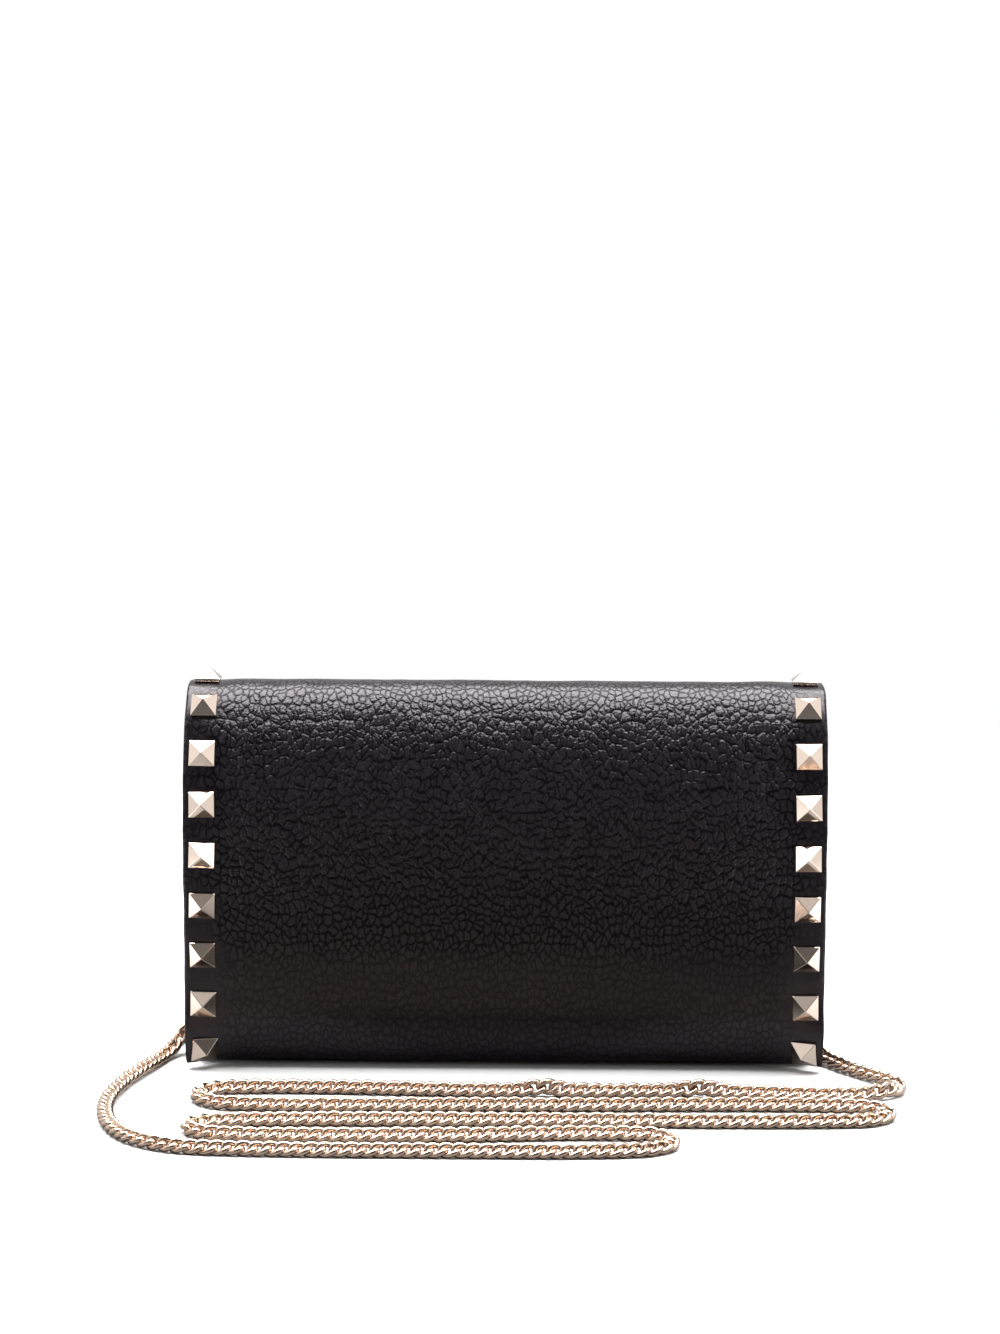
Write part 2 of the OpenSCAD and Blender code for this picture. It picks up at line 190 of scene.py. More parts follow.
# and as shares of a cell
BEND_SIZE = 0.8
BEND = 0.62  # how far each wall wanders
SMALL_CELL = 0.45
CREASE_WIDTH = 0.24
CELL_SQUEEZE = 0.64  # of the height, so cells are taller than wide, as the hide is stretched down the flap
# Heights of the grain's parts against each other
CELL_DOME = -2.3
SMALL_DOME = -1.5
CREASE_STEP = 0.55
PORE_STEP = 0.1


def pebbled_calf(name, colour, crease_shade_colour, cell_mm, depth_mm, rough):
    """Drum-tumbled calf: plump cells parted by fine creases painted darker as shade, with a satin finish on
    top.
    """
    per_cell = 1000 / cell_mm
    mat, tree, shader = new_material(name)
    uv = add(tree, "ShaderNodeUVMap", {"uv_map": "lie"}).outputs[0]
    press = add(tree, "ShaderNodeAttribute", {"attribute_name": "grain"}).outputs["Fac"]
    # the cells' walls wander: a slow drift of the whole pattern, and a quick one that bends each wall
    slow = add(tree, "ShaderNodeTexNoise", inputs={"Vector": uv, "Scale": 1000 / DRIFT_SIZE, "Detail": 1.0})
    quick = add(tree, "ShaderNodeTexNoise",
                inputs={"Vector": uv, "Scale": per_cell / BEND_SIZE, "Detail": 2.0})
    drift = add(tree, "ShaderNodeVectorMath", {"operation": "SCALE"},
                {0: slow.outputs["Color"], "Scale": DRIFT * MM})
    bend = add(tree, "ShaderNodeVectorMath", {"operation": "SCALE"},
               {0: quick.outputs["Color"], "Scale": BEND * cell_mm * MM})
    moved = add(tree, "ShaderNodeVectorMath", {"operation": "ADD"}, {0: uv, 1: drift.outputs[0]})
    bent = add(tree, "ShaderNodeVectorMath", {"operation": "ADD"}, {0: moved.outputs[0], 1: bend.outputs[0]})
    lay = add(tree, "ShaderNodeVectorMath", {"operation": "MULTIPLY"},
              {0: bent.outputs[0], 1: (1.0, CELL_SQUEEZE, 1.0)})

    flat = {"voronoi_dimensions": "2D"}
    wall = {"voronoi_dimensions": "2D", "feature": "DISTANCE_TO_EDGE"}
    big = add(tree, "ShaderNodeTexVoronoi", wall, {"Vector": lay.outputs[0], "Scale": per_cell})
    dome = add(tree, "ShaderNodeTexVoronoi", flat, {"Vector": lay.outputs[0], "Scale": per_cell})
    small = add(tree, "ShaderNodeTexVoronoi", flat,
                {"Vector": bent.outputs[0], "Scale": per_cell / SMALL_CELL})
    crease = add(tree, "ShaderNodeMapRange", {"interpolation_type": "SMOOTHSTEP"},
                 {"Value": big.outputs["Distance"], "From Max": CREASE_WIDTH})
    patch = add(tree, "ShaderNodeTexNoise", inputs={"Vector": uv, "Scale": 1000 / PATCH_SIZE, "Detail": 3.0})
    pores = add(tree, "ShaderNodeTexNoise", inputs={"Vector": uv, "Scale": 1000 / PORE_SIZE, "Detail": 2.0})

    # the relief adds up from domed cells, creases, small cells in patches, and pores
    round_big = add(tree, "ShaderNodeMath", {"operation": "POWER"}, {0: dome.outputs["Distance"], 1: 2.0})
    round_small = add(tree, "ShaderNodeMath", {"operation": "POWER"}, {0: small.outputs["Distance"], 1: 2.0})
    fine = add(tree, "ShaderNodeMath", {"operation": "MULTIPLY"},
               {0: round_small.outputs[0], 1: patch.outputs["Fac"]})
    height = add(tree, "ShaderNodeMath", {"operation": "MULTIPLY"}, {0: crease.outputs[0], 1: CREASE_STEP})
    for part, share in ((round_big.outputs[0], CELL_DOME), (fine.outputs[0], SMALL_DOME),
                        (pores.outputs["Fac"], PORE_STEP)):
        height = add(tree, "ShaderNodeMath", {"operation": "MULTIPLY_ADD"},
                     {0: part, 1: share, 2: height.outputs[0]})
    pressed = add(tree, "ShaderNodeMath", {"operation": "MULTIPLY"}, {0: height.outputs[0], 1: press})
    bump = add(tree, "ShaderNodeBump",
               inputs={"Strength": 1.0, "Distance": depth_mm * MM, "Height": pressed.outputs[0]})

    # the creases are painted darker as shade; where the hide is pulled smooth, the creases close and their
    # painted shade hardly shows
    smooth_unshaded = add(tree, "ShaderNodeMapRange",
                 inputs={"Value": press, "From Max": 0.3, "To Min": 1.0, "To Max": 0.0})
    unshaded = add(tree, "ShaderNodeMath", {"operation": "MAXIMUM"},
                {0: crease.outputs[0], 1: smooth_unshaded.outputs[0]})
    tint = add(tree, "ShaderNodeMix", {"data_type": "RGBA"},
               {"Factor": unshaded.outputs[0], "A": linear(crease_shade_colour), "B": linear(colour)})
    # less light gets out of the creases
    gleam = add(tree, "ShaderNodeMapRange",
                inputs={"Value": unshaded.outputs[0], "To Min": 0.12, "To Max": 0.47})
    dull = add(tree, "ShaderNodeMapRange",
               inputs={"Value": patch.outputs["Fac"], "To Min": rough - 0.04, "To Max": rough + 0.04})
    tree.links.new(tint.outputs["Result"], shader.inputs["Base Color"])
    tree.links.new(dull.outputs[0], shader.inputs["Roughness"])
    tree.links.new(gleam.outputs[0], shader.inputs["Specular IOR Level"])
    tree.links.new(bump.outputs[0], shader.inputs["Normal"])
    shader.inputs["Specular Tint"].default_value = (1.0, 0.93, 0.97, 1.0)
    return mat


def woven_lining(name, colour, yarn_colour, thread_mm, rough):
    """Twill-woven cotton: fine slanting ribs, matt, drawn at the coarsest thread that still shows."""
    mat, tree, shader = new_material(name)
    uv = add(tree, "ShaderNodeUVMap", {"uv_map": "lie"}).outputs[0]
    rib_scale = 1000 / thread_mm / 2
    turned = add(tree, "ShaderNodeMapping", {"vector_type": "POINT"},
                 {"Vector": uv, "Rotation": (0, 0, math.radians(45))})
    rib = add(tree, "ShaderNodeTexWave", {"wave_type": "BANDS"},
              {"Vector": turned.outputs[0], "Scale": rib_scale, "Distortion": 0.6, "Detail": 1.0})
    weft = add(tree, "ShaderNodeTexWave", {"wave_type": "BANDS", "bands_direction": "Y"},
               {"Vector": uv, "Scale": rib_scale})
    both = add(tree, "ShaderNodeMath", {"operation": "MULTIPLY_ADD"},
               {0: weft.outputs["Fac"], 1: 0.4, 2: rib.outputs["Fac"]})
    bump = add(tree, "ShaderNodeBump",
               inputs={"Strength": 0.7, "Distance": 0.12 * MM, "Height": both.outputs[0]})
    tint = add(tree, "ShaderNodeMix", {"data_type": "RGBA"},
               {"Factor": rib.outputs["Fac"], "A": linear(colour), "B": linear(yarn_colour)})
    tree.links.new(tint.outputs["Result"], shader.inputs["Base Color"])
    tree.links.new(bump.outputs[0], shader.inputs["Normal"])
    shader.inputs["Roughness"].default_value = rough
    shader.inputs["Sheen Weight"].default_value = 0.25
    return mat


HAZE_SIZE = 3.5  # spread of the handling haze on metal, in millimetres


def plated_brass(name, colour, worn, rough, grit_mm):
    """Brass pieces, polished and plated pale gold: mirror-like, with faint handling haze."""
    mat, tree, shader = new_material(name)
    spot = add(tree, "ShaderNodeTexCoord").outputs["Object"]
    haze = add(tree, "ShaderNodeTexNoise", inputs={"Vector": spot, "Scale": 1000 / HAZE_SIZE, "Detail": 3.0})
    grit = add(tree, "ShaderNodeTexNoise", inputs={"Vector": spot, "Scale": 1000 / grit_mm, "Detail": 2.0})
    tint = add(tree, "ShaderNodeMix", {"data_type": "RGBA"},
               {"Factor": haze.outputs["Fac"], "A": linear(colour), "B": linear(worn)})
    dull = add(tree, "ShaderNodeMapRange",
               inputs={"Value": haze.outputs["Fac"], "To Min": rough * 0.7, "To Max": rough * 1.4})
    bump = add(tree, "ShaderNodeBump",
               inputs={"Strength": 0.1, "Distance": 0.01 * MM, "Height": grit.outputs["Fac"]})
    tree.links.new(tint.outputs["Result"], shader.inputs["Base Color"])
    tree.links.new(dull.outputs[0], shader.inputs["Roughness"])
    tree.links.new(bump.outputs[0], shader.inputs["Normal"])
    shader.inputs["Metallic"].default_value = 1.0
    return mat


def plain(name, colour, other, grain_mm, rough, metallic=0.0):
    """A finish that only shows inside: two near tones in a fine grain."""
    mat, tree, shader = new_material(name)
    spot = add(tree, "ShaderNodeTexCoord").outputs["Object"]
    grain = add(tree, "ShaderNodeTexNoise", inputs={"Vector": spot, "Scale": 1000 / grain_mm, "Detail": 4.0})
    tint = add(tree, "ShaderNodeMix", {"data_type": "RGBA"},
               {"Factor": grain.outputs["Fac"], "A": linear(colour), "B": linear(other)})
    bump = add(tree, "ShaderNodeBump",
               inputs={"Strength": 0.3, "Distance": 0.05 * MM, "Height": grain.outputs["Fac"]})
    tree.links.new(tint.outputs["Result"], shader.inputs["Base Color"])
    tree.links.new(bump.outputs[0], shader.inputs["Normal"])
    shader.inputs["Roughness"].default_value = rough
    shader.inputs["Metallic"].default_value = metallic
    return mat


FINISHES = {
    # Drum-tumbled calf leather, aniline dyed black and lightly waxed: plump grain with a satin light
    # the second colour is painted shade in the creases
    "calf": lambda: pebbled_calf("calf_drum_tumbled", "#1b171b", "#040304", 1.95, 0.18, 0.25),
    # Folded calf, pared thin: the same hide with its grain pressed finer
    # the second colour is painted shade in the creases
    "thin_calf": lambda: pebbled_calf("calf_pared", "#1d1a1b", "#0c0b0c", 1.5, 0.13, 0.42),
    # Cotton twill, woven: soft matt ribs
    "twill": lambda: woven_lining("cotton_twill_woven", "#2a2526", "#3a3334", 0.9, 0.85),
    # Polyester tape, woven: tight ribs with a slight sheen
    "tape": lambda: woven_lining("polyester_tape_woven", "#141213", "#242122", 0.7, 0.7),
    # Brass, die-struck, polished and plated pale gold: white and cream facets
    "gold": lambda: plated_brass("brass_gold_plated_struck", "#f3e2d4", "#efdaca", 0.085, 0.5),
    # Brass wire, curb-linked, tumbled and plated pale gold: a touch softer and rosier
    "chain_gold": lambda: plated_brass("brass_gold_plated_tumbled", "#e4cbb7", "#d4b9a4", 0.2, 0.4),
    # Fibreboard, pressed and dyed through: dark and matt
    "board": lambda: plain("fibreboard_pressed", "#2e2a28", "#242120", 0.8, 0.9),
    # Ferrite, sintered and nickel plated: grey and dull
    "magnet": lambda: plain("ferrite_nickel_plated", "#606064", "#4d4d50", 0.6, 0.5, 0.8),
    # Steel, stamped and left plain: fine grey grain
    "steel": lambda: plain("steel_stamped", "#9c9c9a", "#858583", 0.5, 0.35, 1.0),
    # Polyester thread, twisted: dark with a faint sheen
    "thread": lambda: plain("polyester_thread_twisted", "#1a1718", "#2a2627", 0.3, 0.55),
}
made = {}


def finish_of(key):
    if key not in made:
        made[key] = FINISHES[key]()
    return made[key]


# ---- mesh helpers ----
def to_object(name, verts, faces, finish, uv=None, grain=None, sharp=50):
    mesh = bpy.data.meshes.new(name)
    mesh.from_pydata([tuple(v) for v in verts], [], faces)
    mesh.update()
    bm = bmesh.new()
    bm.from_mesh(mesh)
    bmesh.ops.recalc_face_normals(bm, faces=bm.faces[:])
    bm.to_mesh(mesh)
    bm.free()
    if uv is not None:
        layer = mesh.uv_layers.new(name="lie")
        index = np.empty(len(mesh.loops), np.int32)
        mesh.loops.foreach_get("vertex_index", index)
        layer.data.foreach_set("uv", np.asarray(uv, np.float32)[index].ravel())
    if grain is not None:
        attr = mesh.attributes.new("grain", "FLOAT", "POINT")
        attr.data.foreach_set("value", np.asarray(grain, np.float32))
    mesh.shade_smooth()
    mesh.set_sharp_from_angle(angle=math.radians(sharp))
    obj = bpy.data.objects.new(name, mesh)
    bpy.context.scene.collection.objects.link(obj)
    mesh.materials.append(finish_of(finish))
    return obj


RIM_STEPS = 5  # faces round a sheet's edge
RIM_GRAIN = 0.25


def sheet_mesh(name, outer, inner, uv, finish, grain=None, square=()):
    """A closed sheet between two grids of points, with rounded edges except on the square sides."""
    outer, inner = np.asarray(outer, float), np.asarray(inner, float)
    n, m = outer.shape[:2]
    rim = [(0, j) for j in range(m)] + [(i, m - 1) for i in range(1, n)]
    rim += [(n - 1, j) for j in range(m - 2, -1, -1)] + [(i, 0) for i in range(n - 2, 0, -1)]
    verts = [*outer.reshape(-1, 3), *inner.reshape(-1, 3)]
    uvs = [*np.asarray(uv, float).reshape(-1, 2)] * 2
    grains = list(np.ones(n * m) if grain is None else np.asarray(grain, float).ravel()) * 2
    faces = []
    for i in range(n - 1):
        for j in range(m - 1):
            a, b, c, d = i * m + j, i * m + j + 1, (i + 1) * m + j + 1, (i + 1) * m + j
            faces.append((a, b, c, d))
            faces.append((n * m + d, n * m + c, n * m + b, n * m + a))
    rings = [[i * m + j for i, j in rim]]
    for step in range(1, RIM_STEPS):
        angle = math.pi * step / RIM_STEPS
        ring = []
        for i, j in rim:
            push = np.zeros(3)
            for on, side, other in ((i == 0, "start", (1, j)), (i == n - 1, "end", (n - 2, j)),
                                    (j == 0, "sides", (i, 1)), (j == m - 1, "sides", (i, m - 2))):
                if on and side not in square:
                    away = outer[i, j] - outer[other]
                    push += away / np.linalg.norm(away)
            if push.any():
                push /= np.linalg.norm(push)
            half = (outer[i, j] - inner[i, j]) / 2
            middle = (outer[i, j] + inner[i, j]) / 2
            ring.append(len(verts))
            verts.append(middle + half * math.cos(angle) + push * np.linalg.norm(half) * math.sin(angle))
            uvs.append(np.asarray(uv, float)[i, j])
            grains.append(RIM_GRAIN)
        rings.append(ring)
    rings.append([n * m + i * m + j for i, j in rim])
    for one, two in zip(rings, rings[1:]):
        for q in range(len(rim)):
            r = (q + 1) % len(rim)
            faces.append((one[q], one[r], two[r], two[q]))
    return to_object(name, verts, faces, finish, uvs, grains)


def spaced(a, b, step):
    return np.linspace(a, b, max(int(round(abs(b - a) / step)), 1) + 1)


def resample(points, step):
    """Points at an even spacing along a polyline of depths and heights."""
    points = np.asarray(points, float)
    lengths = np.concatenate([[0], np.cumsum(np.linalg.norm(np.diff(points, axis=0), axis=1))])
    at = spaced(0, lengths[-1], step)
    return np.stack([np.interp(at, lengths, points[:, 0]), np.interp(at, lengths, points[:, 1])], 1), at


def left_normals(points):
    along = np.gradient(points, axis=0)
    along /= np.linalg.norm(along, axis=1)[:, None]
    return np.stack([-along[:, 1], along[:, 0]], 1)


def section_sheet(name, points, width_at, thick, finish, step, x_step, ripple=0.0, seed=0.0, square=()):
    """A sheet whose section is a polyline, outer face on the line, thickness to its right."""
    line, at = resample(points, step)
    out = left_normals(line)
    widths = np.array([width_at(s) if callable(width_at) else width_at for s in at]) - thick / 2
    xs = spaced(-1, 1, x_step / widths.max())
    outer, inner, uv = [], [], []
    for (u, z), (nu, nz), w, s in zip(line, out, widths, at):
        rows = [[], [], []]
        for t in xs:
            x = t * w
            lift = ripple * (wave(x / 24 + seed, s / 19, seed) + 0.5 * wave(x / 9, s / 8 + seed, 3.1))
            rows[0].append(place(x, u + lift * nu, z + lift * nz))
            rows[1].append(place(x, u - thick * nu, z - thick * nz))
            rows[2].append((x * MM, s * MM))
        outer.append(rows[0])
        inner.append(rows[1])
        uv.append(rows[2])
    return sheet_mesh(name, outer, inner, uv, finish, square=square)


# ---- flap surface ----
STUD_SPOTS = [(k, side * STUD_X) for side in (-1, 1) for k in range(1, ROWS + 1)]
FLARE_FROM = 76  # how far out the corners begin to stand forward
CREASING = 0.16  # height of the wrinkles over the fold
STUD_DIP = 0.42  # how deep a stud sits in the leather
STUD_DIP_AREA = 42  # square millimetres over which the dip fades


def to_stud(k, x):
    """Distance to the nearest stud over the leather, in millimetres."""
    s = run_at(k)
    return math.sqrt(min((x - stud_x) ** 2 + (s - run_at(stud_k)) ** 2 for stud_k, stud_x in STUD_SPOTS))


def flare(k, x):
    """The flap's lower corners stand a little forward of its middle."""
    settings = bpy.context.scene.wallet_leather
    side = max((abs(x) - FLARE_FROM) / (HALF_W - FLARE_FROM), 0.0)
    return settings.corner_flare / MM * side * side * smooth(7.6, 9.5, k)


def flap_point(k, x, off=0.0, lift=0.0):
    u, z = skin(k, off - lift)
    return place(x, u + flare(k, x), z)


def flap_lift(k, x):
    """Relief of the outer leather: slow swell, creasing over the fold, and a dip under each stud."""
    s = run_at(k)
    rest = bpy.context.scene.wallet_leather.swell / MM
    lift = rest * (wave(x / 31, s / 24, 1.7) + 0.55 * wave(x / 11, s / 9, 4.2))
    fold = smooth(0.7, 1.2, k) * (1 - smooth(2.2, 3.4, k))
    lift += fold * CREASING * wave(x / 4.5, s / 10, 8.0)
    return lift - STUD_DIP * math.exp(-(to_stud(k, x) ** 2) / STUD_DIP_AREA)


def grain_at(k, x):
    """How much of the grain shows: pulled smooth round the studs and at the turned edges."""
    round_studs = 0.2 + 0.8 * smooth(4, 11, to_stud(k, x))
    over_fold = 0.26 + 0.74 * smooth(1.3, 1.9, k)
    at_lip = 1 - 0.86 * smooth(5.0, 7.4, k)
    at_sides = 1 - (1 - RIM_GRAIN) * smooth(86, 99.5, abs(x))
    return round_studs * over_fold * at_lip * at_sides


# ---- chain route, in millimetres: sideways, in front of the back panel, and up ----
CHAIN_R = 2.1
HOOK_X = 89.6
END_Z = 49.6038
LYING = CHAIN_R
ROUTE = [
    (-HOOK_X, 20, END_Z), (-HOOK_X, 20, 34), (-92, 20, 22), (-97, 19.5, 13.5), (-102.5, 20, 6.5),
    (-107, 27, LYING), (-111.5, 44, LYING), (-116.5, 64, LYING), (-118.5, 86, LYING), (-115.5, 107, LYING),
    (-108, 122.5, LYING), (-96, 132, LYING), (-80, 135.5, LYING), (-20, 136.5, LYING), (38, 134.5, LYING),
    (49, 126, LYING), (40, 117.5, LYING), (-20, 120.5, LYING), (-82, 120.5, LYING), (-91, 113, LYING),
    (-82, 106, LYING), (0, 103.5, LYING), (104, 102, LYING), (114.5, 93.5, LYING), (105, 85.5, LYING),
    (0, 87, LYING), (-82, 87.5, LYING), (-92, 78, LYING), (-82, 69, LYING), (0, 70.5, LYING),
    (60, 70, LYING), (104, 73, LYING), (117.5, 70, LYING), (121, 61, LYING), (117, 53, LYING),
    (111.5, 46, LYING), (105.5, 36.5, LYING), (100.5, 26.5, 3.0), (97, 21.5, 6.5), (92.5, 20, 18),
    (HOOK_X, 20, 34), (HOOK_X, 20, END_Z),
]
CURVE_STEPS = 24
# Places along the first row, sideways, where a few links have turned on their neighbours
KINK_XS = [13.4, 60.5, 100]
KINK_ROW = 70.5
KINK_REACH = 5.5
KINK_LIFT = 1.1
KINK_TURN = (58, 16)  # degrees, and how much they differ
LINK_AROUND = 20
WIRE_AROUND = 8


def chain_line(steps):
    """The route as a cubic curve through its points, in metres."""
    pts = [place(*p) for p in ROUTE]
    last = len(pts) - 1
    slopes = [(pts[min(i + 1, last)] - pts[max(i - 1, 0)]).normalized() for i in range(last + 1)]
    line = []
    for i in range(last):
        span = (pts[i + 1] - pts[i]).length
        for j in range(steps):
            t = j / steps
            line.append((2 * t**3 - 3 * t**2 + 1) * pts[i] + (t**3 - 2 * t**2 + t) * span * slopes[i]
                        + (3 * t**2 - 2 * t**3) * pts[i + 1] + (t**3 - t**2) * span * slopes[i + 1])
    return line + [pts[-1]]


# ---- settings ----
class WalletLeather(bpy.types.PropertyGroup):
    corner_flare: FloatProperty(name="Corner flare",
                                description="How far the flap's lower corners stand forward",
                                default=6.5 * MM, unit="LENGTH")
    swell: FloatProperty(name="Swell", description="Height of the leather's slow undulation",
                         default=0.3 * MM, unit="LENGTH")
    cell: FloatProperty(name="Grid", description="Spacing of the leather's mesh",
                        default=1.25 * MM, unit="LENGTH")


class WalletChain(bpy.types.PropertyGroup):
    pitch: FloatProperty(name="Pitch", description="Distance from one link to the next",
                         default=3.85 * MM, unit="LENGTH")
    width: FloatProperty(name="Width", description="Width of a link", default=5.2 * MM, unit="LENGTH")
    wire: FloatProperty(name="Wire", description="Thickness of the links' wire",
                        default=1.75 * MM, unit="LENGTH")
    twist: FloatProperty(name="Twist", description="Twist of a link from its middle to its end",
                         default=math.radians(-42), subtype="ANGLE")
    roll: FloatProperty(name="Roll", description="How far the chain leans from lying flat",
                        default=math.radians(38), subtype="ANGLE")
    seed: IntProperty(name="Seed", description="Order of the links' small tilts", default=5)


class WalletStuds(bpy.types.PropertyGroup):
    side: FloatProperty(name="Side", description="Side of a stud's square base",
                        default=8 * MM, unit="LENGTH")
    height: FloatProperty(name="Height", description="Height of a stud above the leather",
                          default=4.2 * MM, unit="LENGTH")
    bevel: FloatProperty(name="Ridge", description="Width of the rounding on a stud's ridges",
                         default=0.14 * MM, unit="LENGTH")


class WalletStage(bpy.types.PropertyGroup):
    floor: FloatVectorProperty(name="Floor", description="Colour of the floor", size=4, subtype="COLOR",
                               default=linear("#f6f6f6"))
    distance: FloatProperty(name="Distance", description="From the wallet's back to the camera",
                            default=1.0, unit="LENGTH")
    lens: FloatProperty(name="Lens", description="Focal length in millimetres", default=84.65)


SETTINGS = {"wallet_leather": WalletLeather, "wallet_chain": WalletChain, "wallet_studs": WalletStuds,
            "wallet_stage": WalletStage}


# ---- operators ----
# The camera's place, in metres, and its turns, in degrees
EYE_X = 0.0081
EYE_Z = 0.2518
PAN = 0.59
DIP = 7.36
ROLL = 0.26
FLOOR_HALF = 8
LAMPS = [
    # name, place, aim, size and watts
    ("overhead", (0.0, 0.27, 1.25), (0, 0.27, 0.0), (1.7, 1.26), 56.0),
    ("front_left", (-1.1, -1.3, 0.9), (0, 0, 0.05), (0.7, 0.9), 1.5),
    ("front_right", (1.2, -1.2, 0.8), (0, 0, 0.05), (0.6, 0.8), 1.0),
]


class MakeStage(bpy.types.Operator):
    """Adds the camera, a plain pale floor and soft studio light"""
    bl_idname = "wallet.make_stage"
    bl_label = "Stage"

    def execute(self, context):
        stage = context.scene.wallet_stage
        data = bpy.data.cameras.new("camera")
        data.lens = stage.lens
        data.sensor_width = 36
        data.clip_end = 50
        cam = bpy.data.objects.new("camera", data)
        cam.location = (EYE_X, BACK_Y * MM - stage.distance, EYE_Z)
        look = Matrix.Rotation(math.radians(PAN), 4, "Z") @ Matrix.Rotation(math.radians(90 - DIP), 4, "X")
        cam.rotation_euler = (look @ Matrix.Rotation(math.radians(ROLL), 4, "Z")).to_euler()
        context.scene.collection.objects.link(cam)
        context.scene.camera = cam

        # Matt paper sweep: lit by the lamps near the wallet and evenly white beyond. In reflections its
        # colour is
        # painted darker: towards its front, standing in for the unlit studio in front of a set, and near the
        # wallet
        mat, tree, shader = new_material("paper_rolled_painted_reflections")
        spot = add(tree, "ShaderNodeTexCoord").outputs["Object"]
        away = add(tree, "ShaderNodeVectorMath", {"operation": "LENGTH"}, {0: spot}).outputs["Value"]
        axes = add(tree, "ShaderNodeSeparateXYZ", inputs={"Vector": spot})
        forward = add(tree, "ShaderNodeMath", {"operation": "DIVIDE"}, {0: axes.outputs["Y"], 1: away})
        side = add(tree, "ShaderNodeMapRange", {"interpolation_type": "SMOOTHSTEP"},
                   {"Value": forward.outputs[0], "From Min": -0.8, "From Max": -0.3,
                    "To Min": DARK_FRONT, "To Max": 0.85})
        # painted shade: near the wallet the paper is darker in reflections
        under = add(tree, "ShaderNodeMapRange", {"interpolation_type": "SMOOTHSTEP"},
                    {"Value": away, "From Min": 0.13, "From Max": 0.3, "To Min": 0.4, "To Max": 1.0})
        path = add(tree, "ShaderNodeLightPath")
        # painted reflection: for short reflected rays the paper keeps a little brightness, as whatever lies
        # on it still mirrors the lit paper next to it
        close = add(tree, "ShaderNodeMapRange", {"interpolation_type": "SMOOTHSTEP"},
                    {"Value": path.outputs["Ray Length"], "From Min": 0.012, "From Max": 0.035,
                     "To Min": 0.2, "To Max": 0.0})
        painted_reflection_shade = add(tree, "ShaderNodeMath", {"operation": "MULTIPLY"},
                      {0: side.outputs[0], 1: under.outputs[0]})
        painted_reflection_tone = add(tree, "ShaderNodeMath", {"operation": "MAXIMUM"},
                       {0: painted_reflection_shade.outputs[0], 1: close.outputs[0]})
        # in reflections the paper's colour and glow are scaled by this painted shade and reflection; other
        # rays see it plain
        share = add(tree, "ShaderNodeMix",
                    inputs={0: path.outputs["Is Glossy Ray"], 2: 1.0, 3: painted_reflection_tone.outputs[0]})
        tint = add(tree, "ShaderNodeVectorMath", {"operation": "SCALE"},
                   {0: stage.floor[:3], "Scale": share.outputs[0]})
        tree.links.new(tint.outputs[0], shader.inputs["Base Color"])
        shader.inputs["Roughness"].default_value = 0.9
        shader.inputs["Specular IOR Level"].default_value = 0.0
        glow = add(tree, "ShaderNodeEmission", inputs={"Color": (1, 1, 1, 1), "Strength": share.outputs[0]})
        beyond = add(tree, "ShaderNodeMapRange", {"interpolation_type": "SMOOTHSTEP"},
                     {"Value": away, "From Min": 0.28, "From Max": 0.7})
        both = add(tree, "ShaderNodeMixShader",
                   inputs={0: beyond.outputs[0], 1: shader.outputs[0], 2: glow.outputs[0]})
        ending = next(n for n in tree.nodes if n.type == "OUTPUT_MATERIAL")
        tree.links.new(both.outputs[0], ending.inputs["Surface"])
        floor = bpy.data.meshes.new("floor")
        corners = [(x * FLOOR_HALF, y * FLOOR_HALF, 0) for x, y in ((-1, -1), (1, -1), (1, 1), (-1, 1))]
        floor.from_pydata(corners, [], [(0, 1, 2, 3)])
        floor.materials.append(mat)
        obj = bpy.data.objects.new("floor", floor)
        context.scene.collection.objects.link(obj)

        for name, spot, aim, wide, power in LAMPS:
            lamp = bpy.data.lights.new(name, "AREA")
            lamp.shape = "RECTANGLE"
            lamp.size, lamp.size_y = wide
            lamp.energy = power
            light = bpy.data.objects.new(name, lamp)
            light.location = spot
            light.rotation_euler = (Vector(aim) - Vector(spot)).to_track_quat("-Z", "Y").to_euler()
            context.scene.collection.objects.link(light)

        world = bpy.data.worlds.new("studio")
        world.use_nodes = True
        tree = world.node_tree
        tree.nodes.clear()
        ways = add(tree, "ShaderNodeTexCoord").outputs["Generated"]
        depth = add(tree, "ShaderNodeSeparateXYZ", inputs={"Vector": ways}).outputs["Y"]
        side = add(tree, "ShaderNodeMapRange", {"interpolation_type": "SMOOTHSTEP"},
                   {"Value": depth, "From Min": -0.5, "From Max": -0.2, "To Min": DARK_FRONT, "To Max": 1.0})
        rear = add(tree, "ShaderNodeMapRange", {"interpolation_type": "SMOOTHSTEP"},
                   {"Value": depth, "From Min": 0.3, "From Max": 0.9, "To Min": 1.0, "To Max": 0.65})
        soft = add(tree, "ShaderNodeMath", {"operation": "MULTIPLY"},
                   {0: side.outputs[0], 1: rear.outputs[0]})
        path = add(tree, "ShaderNodeLightPath")
        seen = add(tree, "ShaderNodeMix",
                   inputs={0: path.outputs["Is Camera Ray"], 2: soft.outputs[0], 3: 1.05})
        back = add(tree, "ShaderNodeBackground", inputs={"Color": (1, 1, 1, 1), "Strength": seen.outputs[0]})
        add(tree, "ShaderNodeOutputWorld", inputs={"Surface": back.outputs[0]})
        context.scene.world = world
        context.scene.view_settings.view_transform = "Standard"
        return {"FINISHED"}


